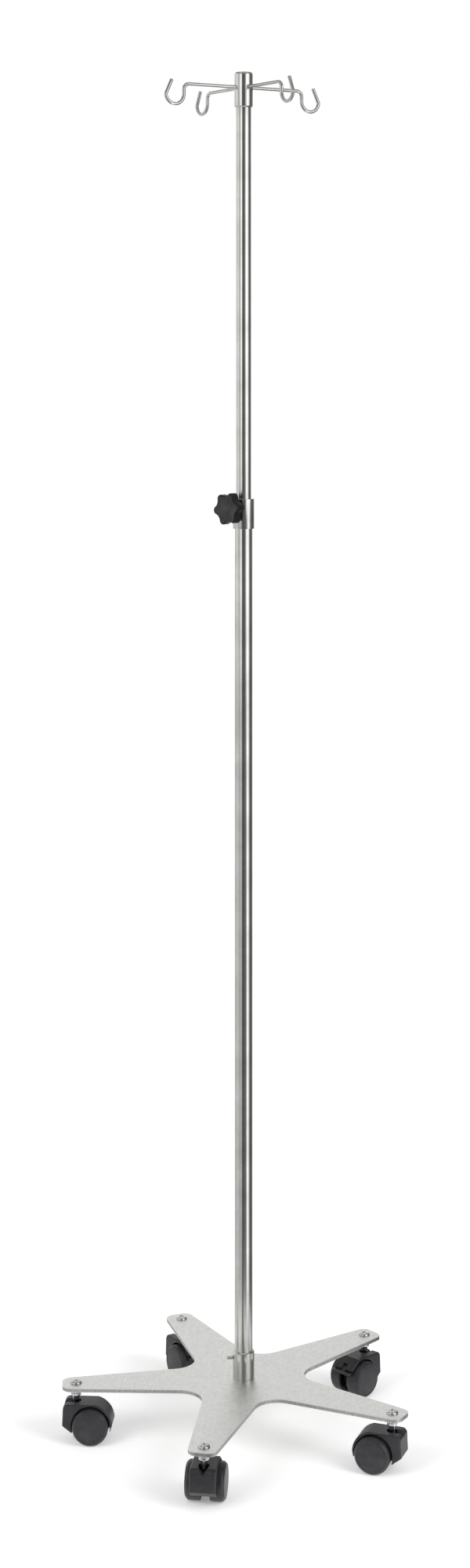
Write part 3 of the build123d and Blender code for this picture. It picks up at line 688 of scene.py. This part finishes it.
# The lamps' light falls off round a spot a metre in front, and the paper's glow makes up for it, so that it
# is evenly just past white and keeps the shadows.
brightest_spot = (0.225, -0.974, 0.0)
brightest = 0.477  # what the lamps add there
glow_far_off = 0.66
place = add(tree, "ShaderNodeTexCoord").outputs["Object"]
away = add(tree, "ShaderNodeVectorMath", {0: place, 1: brightest_spot}, operation="DISTANCE")
away = away.outputs["Value"]
spread = add(tree, "ShaderNodeMath", {0: away, 1: 0.5}, operation="MULTIPLY").outputs[0]
spread = add(tree, "ShaderNodeMath", {0: spread, 1: spread, 2: 1.0}, operation="MULTIPLY_ADD").outputs[0]
light = add(tree, "ShaderNodeMath", {0: brightest, 1: spread}, operation="DIVIDE").outputs[0]
glowing = add(tree, "ShaderNodeMath", {0: glow_far_off, 1: light}, operation="SUBTRACT").outputs[0]
lift = add(tree, "ShaderNodeMath", {0: seen.outputs[0], 1: glowing}, operation="MULTIPLY")
matt = add(tree, "ShaderNodeBsdfDiffuse", {"Color": colour("f2f2f2")})
glow = add(tree, "ShaderNodeEmission", {"Strength": lift.outputs[0]})
both = add(tree, "ShaderNodeAddShader", {0: matt.outputs[0], 1: glow.outputs[0]})
add(tree, "ShaderNodeOutputMaterial", {"Surface": both.outputs[0]})
mesh.materials.append(paper)

world = bpy.data.worlds.new("white_studio")
bpy.context.scene.world = world
world.use_nodes = True
tree = world.node_tree
tree.nodes.clear()
path = add(tree, "ShaderNodeLightPath").outputs
seen = add(tree, "ShaderNodeMath", {0: path["Is Camera Ray"], 1: path["Is Glossy Ray"]}, operation="MAXIMUM")
seen = add(tree, "ShaderNodeMath", {0: seen.outputs[0], 1: path["Is Transmission Ray"]}, operation="MAXIMUM")
level = add(tree, "ShaderNodeMapRange", {0: seen.outputs[0], 3: 0.5, 4: 1.0})
sky = add(tree, "ShaderNodeBackground", {"Color": colour("ffffff"), "Strength": level.outputs[0]})
add(tree, "ShaderNodeOutputWorld", {"Surface": sky.outputs[0]})

facing = -77.0  # the side of the pole that faces the camera, in degrees round it
card_light, tree = empty_material("card_light")
level = add(tree, "ShaderNodeAttribute", attribute_name="level").outputs["Fac"]
glow = add(tree, "ShaderNodeEmission", {"Strength": level})
add(tree, "ShaderNodeOutputMaterial", {"Surface": glow.outputs[0]})


def card(name, outline, levels):
    """A card swept round the pole, its outline in metres. Its brightness goes from level to level by
    the angle from the side that faces the camera. It lights nothing, and shows in reflections only."""
    points = []
    shades = []
    for angle in range(levels[0][0], levels[-1][0] + 1, 3):
        after = next(k for k in range(1, len(levels)) if levels[k][0] >= angle)
        (start, from_level), (end, to_level) = levels[after - 1], levels[after]
        turn = radians(facing + angle)
        points += [(r * cos(turn), r * sin(turn), z) for r, z in outline]
        shades += [from_level + (to_level - from_level) * (angle - start) / (end - start)] * len(outline)
    count = len(outline)
    faces = [(a + b, a + b + 1, a + b + 1 + count, a + b + count)
             for a in range(0, len(points) - count, count) for b in range(count - 1)]
    mesh = bpy.data.meshes.new(name)
    mesh.from_pydata(points, [], faces)
    mesh.attributes.new("level", "FLOAT", "POINT").data.foreach_set("value", shades)
    mesh.materials.append(card_light)
    piece = bpy.data.objects.new(name, mesh)
    collection.objects.link(piece)
    piece.visible_camera = False
    piece.visible_diffuse = False
    piece.visible_shadow = False
    piece.visible_transmission = False


wall, meeting, wall_top, floor_gap = 4.5, 1.0, 4.0, 0.002
card("low_card", [(0.35, floor_gap), (1.0, floor_gap), (wall, floor_gap), (wall, meeting)], [
    (-165, 0.8), (-150, 0.78), (-129, 0.7), (-108, 0.68), (-90, 0.78), (-69, 0.75), (-51, 0.5), (-39, 0.62),
    (-30, 0.66), (-18, 0.2), (-9, 0.1), (0, 0.12), (21, 0.18), (33, 0.28), (42, 0.9), (48, 1.6), (60, 1.6),
    (69, 0.8), (81, 0.3), (99, 0.12), (120, 0.12), (132, 0.2), (150, 0.45), (165, 0.6)])
card("high_card", [(wall, meeting), (wall, wall_top)], [
    (-165, 1.1), (-144, 1.1), (-132, 0.65), (-120, 0.95), (-90, 1.05), (-75, 0.95), (-66, 0.6), (-54, 0.7),
    (-45, 1.1), (-33, 1.6), (-27, 1.6), (-21, 0.5), (-15, 0.12), (0, 0.14), (12, 0.12), (21, 0.35),
    (30, 1.1), (39, 1.75), (60, 1.75), (69, 1.4), (78, 0.6), (87, 0.2), (108, 0.15), (126, 0.18),
    (138, 0.4), (165, 0.7)])
card("roof_card", [(wall, wall_top), (2.4, 6.0)], [(-165, 0.35), (165, 0.35)])
card("top_card", [(1.1, 5.0), (0.02, 5.0)], [(-180, 0.2), (180, 0.2)])

lamp_distance, lamp_height = 2.8, 2.0
for name, angle, power in (("left_lamp", -50, 45), ("right_lamp", 55, 60)):
    lamp = bpy.data.lights.new(name, "AREA")
    lamp.shape = "RECTANGLE"
    lamp.size = 1.6
    lamp.size_y = 2.4
    lamp.energy = power
    turn = radians(facing + angle)
    piece = bpy.data.objects.new(name, lamp)
    piece.location = (lamp_distance * cos(turn), lamp_distance * sin(turn), lamp_height)
    piece.rotation_euler = (radians(70), 0, turn + radians(90))
    piece.visible_camera = False
    piece.visible_glossy = False
    collection.objects.link(piece)

camera = bpy.data.cameras.new("camera")
camera.sensor_width = 36.0
camera.lens = 58.16
camera.shift_y = -0.2714
viewer = bpy.data.objects.new("camera", camera)
viewer.location = (0.784, -3.449, 1.5)
viewer.rotation_euler = (radians(90), 0, radians(13))
collection.objects.link(viewer)
bpy.context.scene.camera = viewer
bpy.context.scene.view_settings.view_transform = "Standard"
